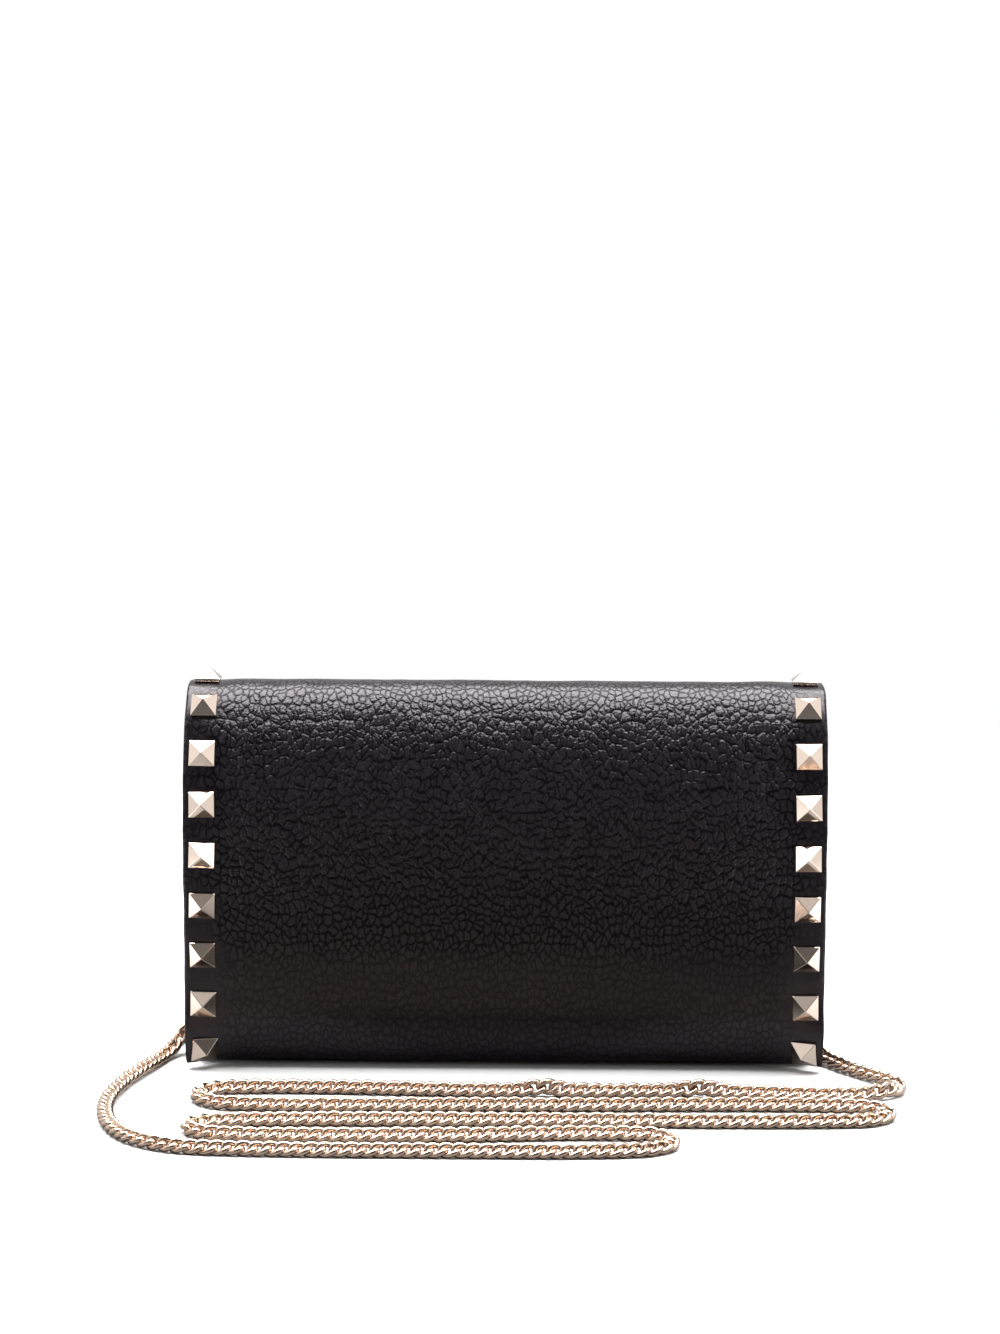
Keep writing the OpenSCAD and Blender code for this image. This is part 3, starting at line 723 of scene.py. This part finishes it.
class MakeChain(bpy.types.Operator):
    """Adds the curb chain, link by link, along its route"""
    bl_idname = "wallet.make_chain"
    bl_label = "Chain"

    def execute(self, context):
        chain = context.scene.wallet_chain
        rng = random.Random(chain.seed)
        line = np.array(chain_line(CURVE_STEPS))
        runs = np.concatenate([[0], np.cumsum(np.linalg.norm(np.diff(line, axis=0), axis=1))])
        total = float(runs[-1])
        count = int(round((total - chain.wire) / chain.pitch))
        pitch = (total - chain.wire) / count
        off_row = 10 * np.abs(line[:, 1] - (BACK_Y - KINK_ROW) * MM)
        kink_runs = [runs[np.argmin(np.abs(line[:, 0] - x * MM) + off_row)] for x in KINK_XS]
        half = (pitch + chain.wire) / 2
        side = (chain.width - chain.wire) / 2
        lean = Vector((0, -math.sin(chain.roll), math.cos(chain.roll)))
        verts, faces = [], []
        for i in range(count):
            s = chain.wire / 2 + (i + 0.5) * pitch
            centre, ahead, behind = (Vector([np.interp(at, runs, line[:, a]) for a in range(3)])
                                     for at in (s, s + half, s - half))
            along = (ahead - behind).normalized()
            up = (lean - lean.dot(along) * along).normalized()
            turn = math.radians(rng.uniform(-7, 7))
            lift = 0.0
            for run in kink_runs:
                near = math.exp(-(((s - run) / (KINK_REACH * MM)) ** 2))
                turn += near * math.radians(KINK_TURN[0] + rng.uniform(-KINK_TURN[1], KINK_TURN[1]))
                lift += near * KINK_LIFT * MM
            up = Matrix.Rotation(turn, 3, along) @ up
            tip = math.radians(rng.uniform(-5, 5))
            along = (Matrix.Rotation(tip, 3, up) @ along).normalized()
            across = up.cross(along)
            centre.z += lift
            ring = []
            for j in range(LINK_AROUND):
                q = 2 * math.pi * j / LINK_AROUND
                wide = side * math.copysign(abs(math.sin(q)) ** 0.8, math.sin(q))
                phi = chain.twist * math.cos(q)
                sideways = math.cos(phi) * across + math.sin(phi) * up
                ring.append(centre + half * math.cos(q) * along + wide * sideways)
            base = len(verts)
            for j, point in enumerate(ring):
                heading = (ring[(j + 1) % LINK_AROUND] - ring[j - 1]).normalized()
                radial = point - centre
                radial = (radial - radial.dot(heading) * heading).normalized()
                other = heading.cross(radial)
                for w in range(WIRE_AROUND):
                    a = 2 * math.pi * w / WIRE_AROUND
                    verts.append(point + chain.wire / 2 * (math.cos(a) * radial + math.sin(a) * other))
            for j in range(LINK_AROUND):
                this, following = base + j * WIRE_AROUND, base + (j + 1) % LINK_AROUND * WIRE_AROUND
                for w in range(WIRE_AROUND):
                    w1 = (w + 1) % WIRE_AROUND
                    faces.append((this + w, this + w1, following + w1, following + w))
        piece = to_object("curb_chain", verts, faces, "chain_gold", sharp=80)
        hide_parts("chain")
        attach(piece, "wallet_body")
        return {"FINISHED"}


# The base's rounded front and rear edges, in millimetres, and how they turn
TOE_R = 3.0
TOE_TURN = np.radians(np.arange(-90, -44, 15))[::-1]
HEEL_R = 5.0
HEEL_TURN = np.radians(np.arange(180, 271, 15))[::-1]
BACK_FOOT = 9  # where the back begins to stand straight
FLAP_EDGE = 1.0  # from the flap's leather to its rounded edge
SIDE_PLY = 0.6  # how much thicker the flap's turned sides are


class MakeLeather(bpy.types.Operator):
    """Adds the outer leather: one piece from the front panel round the base and back, and the flap"""
    bl_idname = "wallet.make_leather"
    bl_label = "Outer leather"

    def execute(self, context):
        step = context.scene.wallet_leather.cell / MM
        # from the front's top edge down, under the base, up the back and over: the outer side is on the right
        front = [skin(k, FRONT_OFF) for k in np.linspace(FRONT_K0, ROWS, 60)]
        toe = [(TOE_U + TOE_R * math.cos(a), TOE_R + TOE_R * math.sin(a)) for a in TOE_TURN]
        heel = [(HEEL_R + HEEL_R * math.cos(a), HEEL_R + HEEL_R * math.sin(a)) for a in HEEL_TURN]
        back = [(0.0, z) for z in np.linspace(BACK_FOOT, HINGE_Z, 60)]
        fold = [skin(k) for k in np.linspace(0, HINGE_K, 14)]
        points = [*front, *toe, *heel, *back, *fold[1:]]
        line, at = resample(points, step)
        heel_run = at[np.argmin(np.linalg.norm(line - np.array([0.0, BACK_FOOT]), axis=1))]

        def width_at(s):
            return BODY_HALF_W + (HALF_W - BODY_HALF_W) * smooth(heel_run - 6, heel_run + 2, s)

        shell = section_sheet("body_leather", points, width_at, LEATHER_T, "calf", step, step,
                              ripple=0.22, seed=2.0, square=("end",))
        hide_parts("back_panel", "base_panel", "front_panel")
        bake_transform(shell)
        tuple(BEND_START)
        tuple(BEND_END)

        xs = spaced(-HALF_W + FLAP_EDGE, HALF_W - FLAP_EDGE, step)
        runs = spaced(run_at(HINGE_K), run_at(LIP) - FLAP_EDGE, step)
        ks = k_at(runs)
        outer, inner, uv, grain = [], [], [], []
        for k, s in zip(ks, runs):
            fade = smooth(HINGE_K, HINGE_K + 0.12, k)
            ply = SIDE_PLY * smooth(HINGE_K, 0.8, k)
            outer.append([flap_point(k, x, 0, fade * flap_lift(k, x)) for x in xs])
            inner.append([flap_point(k, x, LEATHER_T + ply * smooth(88, 90, abs(x))) for x in xs])
            uv.append([(x * MM, s * MM) for x in xs])
            grain.append([1 - (1 - grain_at(k, x)) * fade for x in xs])
        flap = sheet_mesh("flap_outer_leather", outer, inner, uv, "calf", grain, square=("start",))
        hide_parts("flap_leather", "flap_board")
        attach(flap, "flap")
        return {"FINISHED"}


class MakeLinings(bpy.types.Operator):
    """Adds the cloth linings of the flap, the back and the front"""
    bl_idname = "wallet.make_linings"
    bl_label = "Linings"

    def execute(self, context):
        step = 2.2
        xs = spaced(-HALF_W + 2.2, HALF_W - 2.2, step)
        runs = spaced(run_at(HINGE_K), run_at(LIP) - 1, step)
        ks = k_at(runs)
        outer = [[flap_point(k, x, LINING_OFF + 0.02) for x in xs] for k in ks]
        inner = [[flap_point(k, x, FLAP_T, 0.12 * wave(x / 22, s / 17, 5.0)) for x in xs]
                 for k, s in zip(ks, runs)]
        uv = [[(x * MM, s * MM) for x in xs] for s in runs]
        lining = sheet_mesh("flap_cloth", outer, inner, uv, "twill", square=("start",))
        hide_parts("flap_lining")
        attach(lining, "flap")

        fold = [skin(k, LINING_OFF) for k in np.linspace(0.0, HINGE_K, 12)]
        points = [*[(LINING_OFF, z) for z in np.linspace(7, HINGE_Z - 0.5, 50)], *fold]
        back = section_sheet("back_cloth", points, lambda s: BODY_HALF_W + 0.8 * smooth(80, 92, s), CLOTH_T,
                             "twill", step, 3, square=("end",))
        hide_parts("back_lining")
        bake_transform(back)
        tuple(BEND_START)
        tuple(BEND_END)

        points = [skin(k, FRONT_OFF + LINING_OFF) for k in np.linspace(FRONT_K0, ROWS - 0.1, 50)]
        front = section_sheet("front_cloth", points, BODY_HALF_W, CLOTH_T, "twill", step, 3)
        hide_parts("front_lining")
        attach(front, "wallet_body")
        return {"FINISHED"}


def stud_frame(k, x, spin, tip, tilt):
    """Where a stud sits on the flap, and which way it looks."""
    base = flap_point(k, x)
    right = (flap_point(k, x + 1) - flap_point(k, x - 1)).normalized()
    down = flap_point(k + 0.06, x) - flap_point(k - 0.06, x)
    down = (down - down.dot(right) * right).normalized()
    out = down.cross(right).normalized()
    axes = Matrix((right, -down, out)).transposed()
    small = Matrix.Rotation(spin, 3, "Z") @ Matrix.Rotation(tip, 3, "X") @ Matrix.Rotation(tilt, 3, "Y")
    return Matrix.Translation(base) @ (axes @ small).to_4x4()


# Studs that hang a little more downwards than the leather round them, in degrees
LEAN = {4: -0.6, 5: -1.2, 6: 0.8, 7: 1.0, 8: 3.0}
# How far each stud is off square, in degrees: turned on the leather, tipped up or down, tilted sideways
STUD_PLAY = (1.6, 1.2, 1.6)
STUD_SEED = 11
STUD_FOOT = -0.55  # how far a stud reaches into the leather, in millimetres
STUD_RIM = 0.5
FACET_SHARP = 5  # degrees, so each facet stays flat
WASHER_R = 2.9
WASHER_T = 0.4


class MakeStuds(bpy.types.Operator):
    """Adds the pyramid studs and the washers behind them"""
    bl_idname = "wallet.make_studs"
    bl_label = "Studs"

    def execute(self, context):
        studs = context.scene.wallet_studs
        rng = random.Random(STUD_SEED)
        half, foot, rim = studs.side / 2, STUD_FOOT * MM, STUD_RIM * MM
        ring = [(-half, -half), (half, -half), (half, half), (-half, half)]
        for side, word in ((-1, "left"), (1, "right")):
            bm, wash = bmesh.new(), bmesh.new()
            for k in range(1, ROWS + 1):
                turn = [math.radians(rng.uniform(-a, a)) for a in STUD_PLAY]
                turn[1] += math.radians(LEAN.get(k, 0.0))
                spot = stud_frame(k, side * STUD_X, *turn)
                low = [bm.verts.new(spot @ Vector((x * 0.97, y * 0.97, foot))) for x, y in ring]
                mid = [bm.verts.new(spot @ Vector((x, y, rim))) for x, y in ring]
                top = bm.verts.new(spot @ Vector((0, 0, studs.height)))
                new = [bm.faces.new(low[::-1])]
                for i in range(4):
                    j = (i + 1) % 4
                    new.append(bm.faces.new((low[i], low[j], mid[j], mid[i])))
                    new.append(bm.faces.new((mid[i], mid[j], top)))
                edges = {e for f in new[1:] for e in f.edges}
                bmesh.ops.bevel(bm, geom=list(edges), offset=studs.bevel, segments=2, profile=0.6,
                                affect="EDGES")
                behind = spot @ Matrix.Translation((0, 0, -(LEATHER_T + 0.35) * MM))
                bmesh.ops.create_cone(wash, cap_ends=True, segments=28, radius1=WASHER_R * MM,
                                      radius2=WASHER_R * MM, depth=WASHER_T * MM, matrix=behind)
            made_here = ((f"pyramid_studs_{word}", bm, "gold", f"studs_{word}"),
                         (f"washers_{word}", wash, "steel", f"stud_washers_{word}"))
            for mesh_name, source, finish, node in made_here:
                mesh = bpy.data.meshes.new(mesh_name)
                source.to_mesh(mesh)
                source.free()
                mesh.shade_smooth()
                mesh.set_sharp_from_angle(angle=math.radians(FACET_SHARP))
                mesh.materials.append(finish_of(finish))
                piece = bpy.data.objects.new(mesh_name, mesh)
                context.scene.collection.objects.link(piece)
                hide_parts(node)
                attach(piece, "flap")
        return {"FINISHED"}


# The gusset's plan, from its front seam to the fold and back: sideways and depth
PLEAT = [(97, 0), (95.5, 5), (84.6, 12), (84.0, 14), (84.0, 26), (84.6, 28), (95.5, 36), (97, 45)]
VALLEY_X = 84
PLEAT_END = 45
GUSSET_T = 1.15
GUSSET_FOOT = 3.2
GUSSET_TOP = 85.6
FRONT_FOOT = 2.4  # height where the front's inner face leaves the base
CLEAR = 0.3
# The tab: a strip folded round the ring's straight bar
BAR_X = VALLEY_X + 2.6
BAR_Z = 73.0
TAB_U = 20
TAB_HALF = 3.6
TAB_PLY = 1.1
TAB_LOOP_R = 1.75
TAB_TOP = 83.4


class MakeGussets(bpy.types.Operator):
    """Adds the folded leather sides and the tabs that hold the rings"""
    bl_idname = "wallet.make_gussets"
    bl_label = "Gussets and tabs"

    def execute(self, context):
        front_line = np.array([skin(k, FRONT_OFF + FLAP_T) for k in np.linspace(ROWS, FRONT_K0, 60)])
        foot_u, foot_z = front_line[0]
        plan = np.array(PLEAT, float)
        fine = spaced(0, PLEAT_END, 0.5)
        # the pleat's folds are rounded by a running mean
        wide = np.pad(np.interp(fine, plan[:, 1], plan[:, 0]), 2, mode="edge")
        wide = np.convolve(wide, np.ones(5) / 5, mode="valid")
        for side, word in ((-1, "left"), (1, "right")):
            outer, inner, uv = [], [], []
            for z in spaced(GUSSET_FOOT, GUSSET_TOP, 2):
                front_u = np.interp(z, front_line[:, 1], front_line[:, 0])
                if z < foot_z:
                    front_u = TOE_U + (z - FRONT_FOOT) * (foot_u - TOE_U) / (foot_z - FRONT_FOOT)
                depths = np.linspace(FLAP_T + CLEAR, front_u - CLEAR, 44)
                slack = 0.2 * smooth(84, 60, z)
                xs = np.interp(depths, fine, wide)
                xs += slack * np.array([wave(d / 9, z / 14, side * 3.0) for d in depths])
                gone = np.concatenate([[0], np.cumsum(np.hypot(np.diff(depths), np.diff(xs)))])
                slope = np.gradient(xs, depths)
                thick_x = GUSSET_T / np.hypot(1, slope)
                outer.append([place(side * (x - 0.02), d, z) for x, d in zip(xs, depths)])
                inner.append([place(side * (x - t), d + t * sl, z)
                              for x, d, t, sl in zip(xs, depths, thick_x, slope)])
                uv.append([(g * MM, z * MM) for g in gone])
            gusset = sheet_mesh(f"gusset_fold_{word}", outer, inner, uv, "thin_calf")
            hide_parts(f"gusset_{word}")
            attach(gusset, "wallet_body")

            loop = [(BAR_X + TAB_LOOP_R * math.cos(a), BAR_Z + TAB_LOOP_R * math.sin(a))
                    for a in np.radians(np.linspace(180, 395, 22))]
            strip = [(VALLEY_X + 0.75, TAB_TOP), (VALLEY_X + 0.75, 76.0), *loop,
                     (VALLEY_X + 2.1, 76.6), (VALLEY_X + 1.85, 78), (VALLEY_X + 1.85, TAB_TOP)]
            strip, at = resample(strip, 0.7)
            strip[1:-1] = (strip[:-2] + strip[1:-1] * 2 + strip[2:]) / 4
            normal = left_normals(strip)
            outer, inner, uv = [], [], []
            for (x, z), (nx, nz), s in zip(strip, normal, at):
                # a little narrower where it rounds the bar
                half = TAB_HALF - 0.5 * smooth(70, 74, z) * (1 - smooth(72, 77, z))
                us = np.linspace(TAB_U - half, TAB_U + half, 9)
                outer.append([place(side * (x - nx * TAB_PLY / 2), u, z - nz * TAB_PLY / 2) for u in us])
                inner.append([place(side * (x + nx * TAB_PLY / 2), u, z + nz * TAB_PLY / 2) for u in us])
                uv.append([(u * MM, s * MM) for u in us])
            tab = sheet_mesh(f"ring_tab_{word}", outer, inner, uv, "thin_calf")
            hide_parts(f"tab_{word}")
            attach(tab, "wallet_body")
        return {"FINISHED"}


STITCH_PITCH = 3.2 * MM
STITCH_LENGTH = 2.3 * MM


def stitch_row(bm, start, end, out, wire):
    """A row of sewn stitches: short thread humps that dive into the leather at both ends."""
    span = end - start
    count = max(int(span.length / STITCH_PITCH), 1)
    along = span.normalized()
    side = out.cross(along).normalized()
    for i in range(count):
        centre = start + along * (span.length * (i + 0.5) / count)
        rings = []
        for j in range(7):
            t = j / 6
            lift = math.sin(math.pi * t) ** 0.6 * wire * 0.5 - wire * 0.28
            thick = wire / 2 * (0.45 + 0.55 * math.sin(math.pi * min(max(t, 0.02), 0.98)) ** 0.5)
            p = centre + along * (t - 0.5) * STITCH_LENGTH + out * lift
            rings.append([bm.verts.new(p + thick * (math.cos(a) * side + math.sin(a) * out))
                          for a in [2 * math.pi * q / 6 for q in range(6)]])
        for one, two in zip(rings, rings[1:]):
            for q in range(6):
                bm.faces.new((one[q], one[(q + 1) % 6], two[(q + 1) % 6], two[q]))
        bm.faces.new(rings[0][::-1])
        bm.faces.new(rings[-1])


# Card slots: two columns of three on a slip pocket
SLOTS_X = 80
SLOTS_U = FLAP_T + 0.2
SLOT_W = 78
SLOT_T = 0.6
SLOT_GAP = 0.25
SLOT_FOOT = 7
SLOT_TOP = 82.0
SLOT_STEP = 9
# Zipped pocket: two walls under a pair of tapes
ZIP_U = 20.0
ZIP_WALL = 0.8
ZIP_HALF = 82.8
ZIP_DEPTH = 5.0  # from the teeth to each wall
TEETH_HALF = 1.9
TAPE_Z = (79.75, 80.25)


class MakePockets(bpy.types.Operator):
    """Adds the slip pocket, the card slots and the zipped pocket's walls and tapes"""
    bl_idname = "wallet.make_pockets"
    bl_label = "Pockets"

    def execute(self, context):
        threads = bmesh.new()
        toward = Vector((0, -1, 0))

        def flat_piece(name, x0, x1, z0, z1, u, thick, finish, node, bow=0.0):
            """An upright sheet that leans forward by its bow along its top edge"""
            xs = spaced(x0 + thick / 2, x1 - thick / 2, 2.5)
            zs = spaced(z0 + thick / 2, z1 - thick / 2, 2.5)

            def lean(x, z):
                return bow * math.sin(math.pi * (x - x0) / (x1 - x0)) * smooth(z1 - 22, z1, z)

            outer = [[place(x, u + thick + lean(x, z), z) for x in xs] for z in zs]
            inner = [[place(x, u + lean(x, z), z) for x in xs] for z in zs]
            piece = sheet_mesh(name, outer, inner, [[(x * MM, z * MM) for x in xs] for z in zs], finish)
            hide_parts(node)
            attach(piece, "wallet_body")

        flat_piece("slip_pocket_leather", -SLOTS_X, SLOTS_X, SLOT_FOOT, SLOT_TOP + 6, SLOTS_U, SLOT_T,
                   "thin_calf", "slip_pocket", 0.1)
        for x0, word in ((-SLOTS_X, "left"), (SLOTS_X - SLOT_W, "right")):
            for i in (1, 2, 3):
                u = SLOTS_U + i * (SLOT_T + SLOT_GAP)
                z1 = SLOT_TOP - SLOT_STEP * (i - 1)
                flat_piece(f"card_slot_leather_{word}_{i}", x0, x0 + SLOT_W, SLOT_FOOT, z1, u, SLOT_T,
                           "thin_calf", f"card_slot_{word}_{i}", 0.16)
                # the turned edge is held by a row of stitches, and each side by another
                stitch_row(threads, place(x0 + 2.5, u + SLOT_T, z1 - 2.2),
                           place(x0 + SLOT_W - 2.5, u + SLOT_T, z1 - 2.2), toward, wire=0.3 * MM)
            u = SLOTS_U + 3 * (SLOT_T + SLOT_GAP) + SLOT_T
            for x in (x0 + 1.4, x0 + SLOT_W - 1.4):
                stitch_row(threads, place(x, u, 10), place(x, u, SLOT_TOP - 20), toward, wire=0.3 * MM)

        back_u = ZIP_U - ZIP_DEPTH - ZIP_WALL / 2
        flat_piece("zip_pocket_cloth_back", -ZIP_HALF, ZIP_HALF, 4, TAPE_Z[0], back_u, ZIP_WALL,
                   "twill", "zip_pocket_back")
        front_u = ZIP_U + ZIP_DEPTH + ZIP_WALL / 2
        points = [(front_u, 79.4), (front_u, 5.0), (ZIP_U + ZIP_DEPTH - 0.6, 4.0),
                  (back_u + ZIP_WALL + 0.4, 4.0)]
        front = section_sheet("zip_pocket_cloth_front", points, ZIP_HALF, ZIP_WALL, "twill", 2.0, 3.0)
        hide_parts("zip_pocket_front")
        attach(front, "wallet_body")
        for side, word in ((-1, "back"), (1, "front")):
            start = ZIP_U + TEETH_HALF if side > 0 else back_u
            us = spaced(start + 0.25, start + ZIP_DEPTH + ZIP_WALL / 2 - TEETH_HALF - 0.25, 0.7)
            xs = spaced(-81.7, 81.7, 2.0)
            inner, outer = ([[place(x, u, z) for x in xs] for u in us] for z in TAPE_Z)
            uv = [[(x * MM, u * MM) for x in xs] for u in us]
            tape = sheet_mesh(f"tape_{word}", outer, inner, uv, "tape")
            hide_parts(f"zip_tape_{word}")
            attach(tape, "wallet_body")
            edge = ZIP_U + side * (ZIP_DEPTH - 0.6)
            stitch_row(threads, place(-80, edge, TAPE_Z[1]), place(80, edge, TAPE_Z[1]), Vector((0, 0, 1)),
                       wire=0.35 * MM)

        mesh = bpy.data.meshes.new("pocket_stitches")
        threads.to_mesh(mesh)
        threads.free()
        mesh.shade_smooth()
        mesh.materials.append(finish_of("thread"))
        sewn = bpy.data.objects.new("pocket_stitches", mesh)
        context.scene.collection.objects.link(sewn)
        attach(sewn, "wallet_body")
        return {"FINISHED"}


HARD_NODES = {
    "gold": ["zip_teeth_front", "zip_teeth_back", "zip_stops", "zip_slider", "zip_pull",
             "snap_socket", "snap_post", *(f"{part}_{end}" for part in ("tab_rivet", "ring", "clasp", "gate",
                                                                       "gate_pin", "swivel")
                                           for end in ("left", "right"))],
    "board": ["back_board", "base_board", "front_board"],
    "magnet": ["snap_magnet"],
    "steel": ["snap_socket_washer", "snap_post_washer"],
}
FITTING_EDGE = 0.12  # rounding of struck fittings, in millimetres


class FinishHardware(bpy.types.Operator):
    """Gives the CAD's metal and board pieces their finish, with softened edges"""
    bl_idname = "wallet.finish_hardware"
    bl_label = "Hardware"

    def execute(self, context):
        for finish, nodes in HARD_NODES.items():
            for name in nodes:
                obj = frame["nodes"][name]
                obj.data.materials.clear()
                obj.data.materials.append(finish_of(finish))
                if name.startswith(("zip_", "clasp", "tab_rivet", "snap")):
                    weld = obj.modifiers.new("weld", "WELD")
                    weld.merge_threshold = 0.002 * MM
                    soft = obj.modifiers.new("soft_edges", "BEVEL")
                    soft.width = FITTING_EDGE * MM
                    soft.segments = 2
                    soft.limit_method = "ANGLE"
                    soft.angle_limit = math.radians(35)
        return {"FINISHED"}


OPERATORS = [MakeStage, MakeChain, MakeLeather, MakeLinings, MakeStuds, MakeGussets, MakePockets,
             FinishHardware]


class WalletPanel(bpy.types.Panel):
    """Lists the wallet's settings and steps"""
    bl_idname = "VIEW3D_PT_wallet"
    bl_label = "Chain Wallet"
    bl_space_type = "VIEW_3D"
    bl_region_type = "UI"
    bl_category = "Wallet"

    def draw(self, context):
        for name, group in SETTINGS.items():
            box = self.layout.box()
            for prop in group.__annotations__:
                box.prop(getattr(context.scene, name), prop)
        for step in OPERATORS:
            self.layout.operator(step.bl_idname)


def register():
    for cls in [*SETTINGS.values(), *OPERATORS, WalletPanel]:
        bpy.utils.register_class(cls)
    for name, group in SETTINGS.items():
        setattr(bpy.types.Scene, name, bpy.props.PointerProperty(type=group))


def unregister():
    for name in SETTINGS:
        delattr(bpy.types.Scene, name)
    for cls in reversed([*SETTINGS.values(), *OPERATORS, WalletPanel]):
        bpy.utils.unregister_class(cls)


def main():
    register()
    for step in OPERATORS:
        group, name = step.bl_idname.split(".")
        getattr(getattr(bpy.ops, group), name)()


if __name__ == "__main__":
    main()
